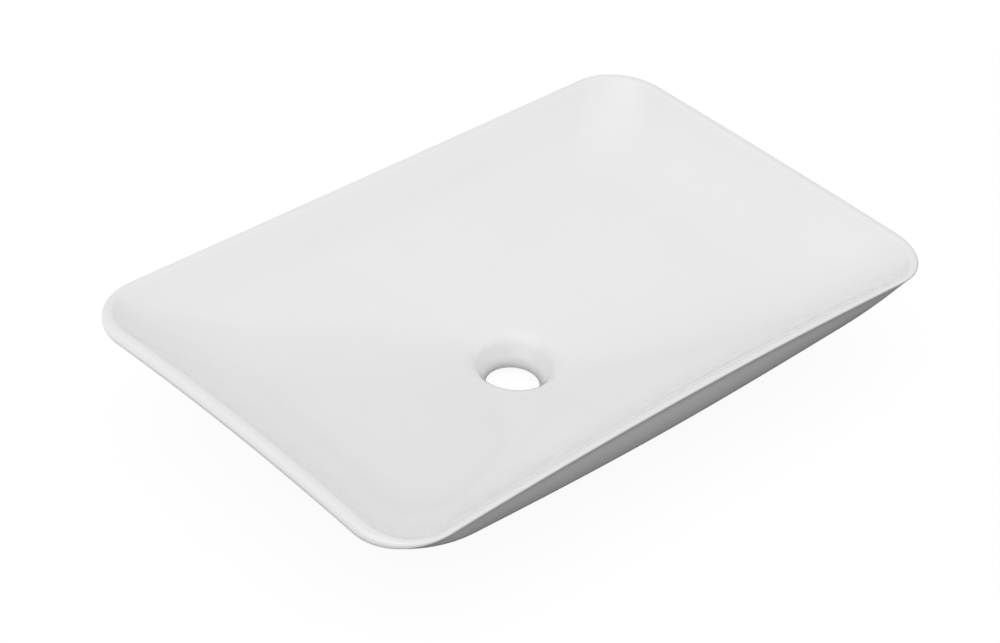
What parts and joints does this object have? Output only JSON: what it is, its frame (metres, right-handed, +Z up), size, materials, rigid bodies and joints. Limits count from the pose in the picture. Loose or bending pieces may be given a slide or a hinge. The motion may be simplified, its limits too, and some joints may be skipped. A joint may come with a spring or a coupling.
{
  "type": "hand basin",
  "caption": "White glazed ceramic counter-top hand basin: a rectangular dish with rounded corners, a thin rolled lip, a floor falling to a central waste hole, and a ring foot.",
  "frame": {"origin": "on the counter, under the middle of the waste hole", "axes": "+X along the long sides to the right, +Y from the front long side to the back one, +Z up"},
  "size_m": [0.6, 0.38, 0.1149],
  "materials": {
    "glaze": "gloss white glaze",
    "bare_body": "unglazed, ground flat"
  },
  "bodies": {
    "root": {"bowl": "glaze", "skirt": "glaze", "foot_ring": "bare_body", "waste_collar": "glaze"}
  },
  "joints": []
}
